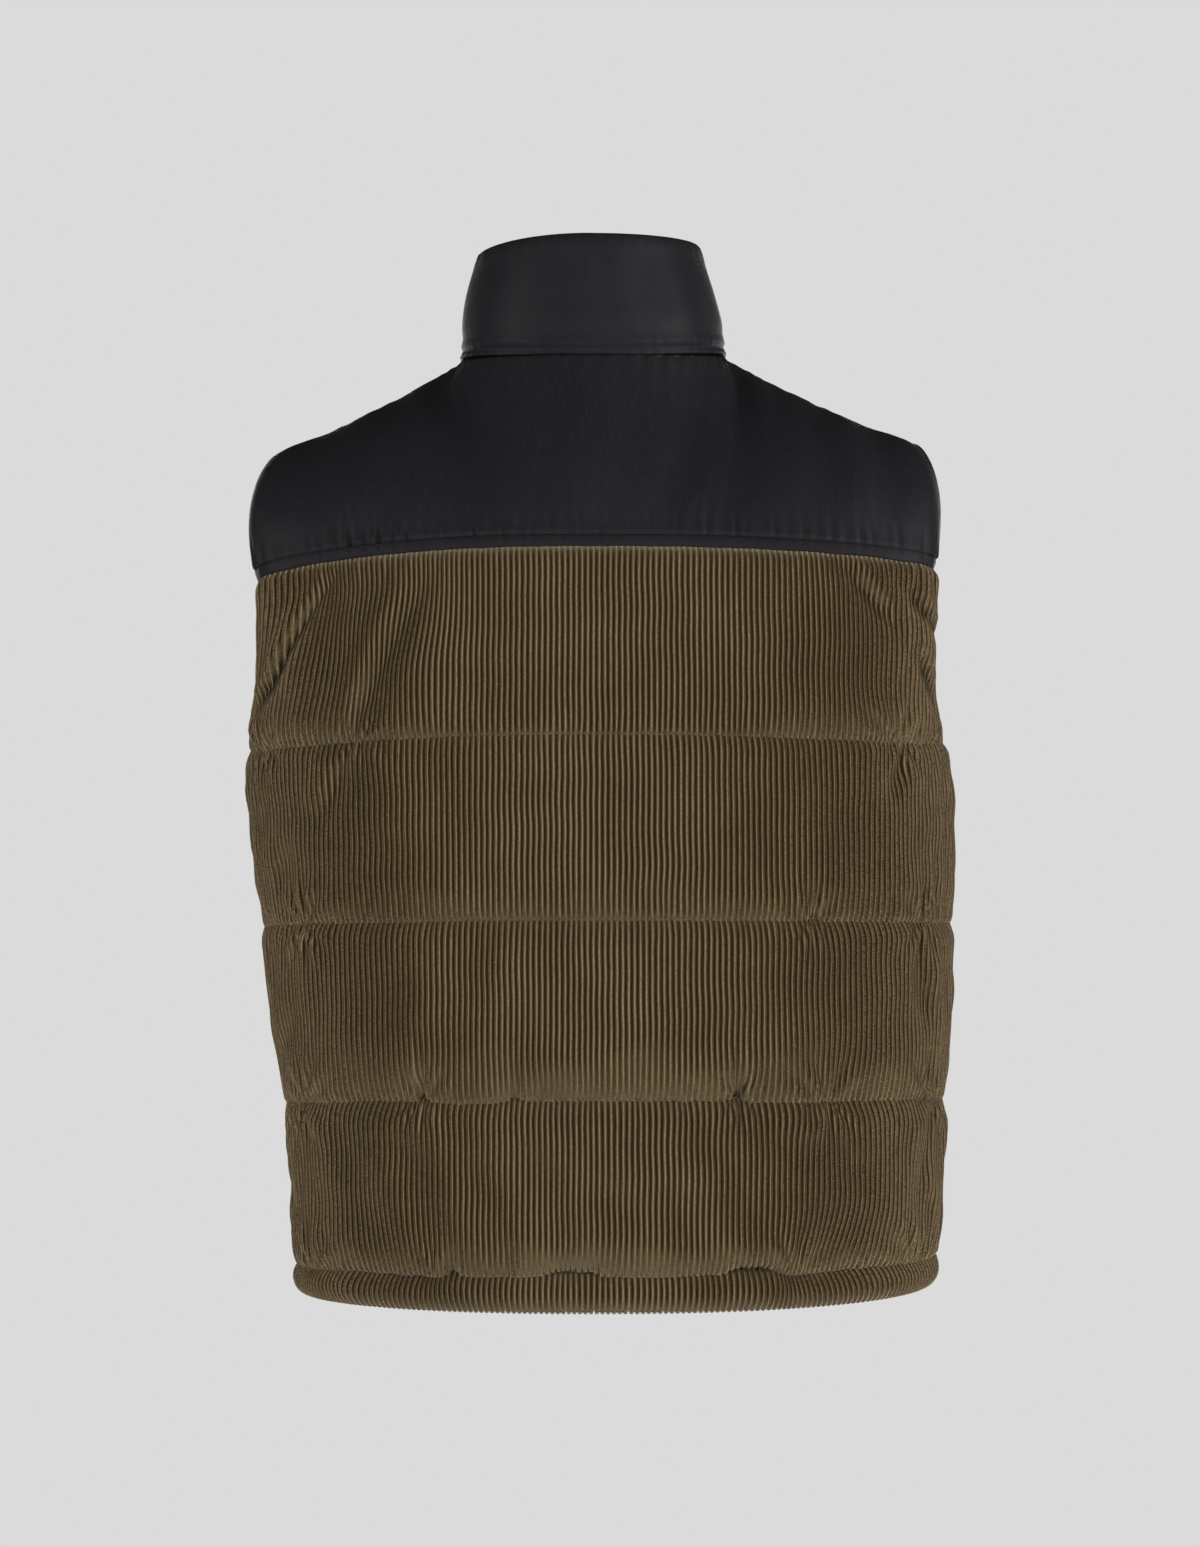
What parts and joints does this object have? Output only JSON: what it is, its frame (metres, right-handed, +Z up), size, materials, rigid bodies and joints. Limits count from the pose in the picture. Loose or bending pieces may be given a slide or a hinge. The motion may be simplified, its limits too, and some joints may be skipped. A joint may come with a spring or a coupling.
{
  "type": "puffer vest",
  "caption": "Sleeveless quilted vest, filled out with no wearer: corduroy baffles, smooth yoke, padded stand collar and a front zip.",
  "frame": {"origin": "between the shoulders, level with the middle of the shoulder seams, where the vest bears on its wearer", "axes": "+Z up from hem to collar, +X from the wearer's left to the wearer's right, -Y to the back of the vest and +Y to its zipped front"},
  "size_m": [0.4691, 0.2884, 0.6982],
  "materials": {
    "corduroy": "wide-wale cotton corduroy, matt pile",
    "nylon": "black satin-woven nylon, soft sheen",
    "zip_tape": "woven black zip tape with moulded teeth",
    "zip_metal": "dark lacquered zinc, smooth"
  },
  "bodies": {
    "vest": {"back_body": "corduroy", "back_yoke": "nylon", "collar": "nylon", "front_body_left": "corduroy", "front_body_right": "corduroy", "front_yoke_left": "nylon", "front_yoke_right": "nylon", "hem_back": "corduroy", "hem_front_left": "corduroy", "hem_front_right": "corduroy", "zip_slider": "zip_metal", "zip_tape_left": "zip_tape", "zip_tape_right": "zip_tape"},
    "zip_pull": {"zip_pull": "zip_metal"}
  },
  "joints": [
    {"name": "pull_tab", "type": "hinge", "parent": "vest", "child": "zip_pull", "pos_m": [0, 0.08899, 0.03716], "axis": [1, 0, 0], "range_deg": [0, 150]}
  ]
}
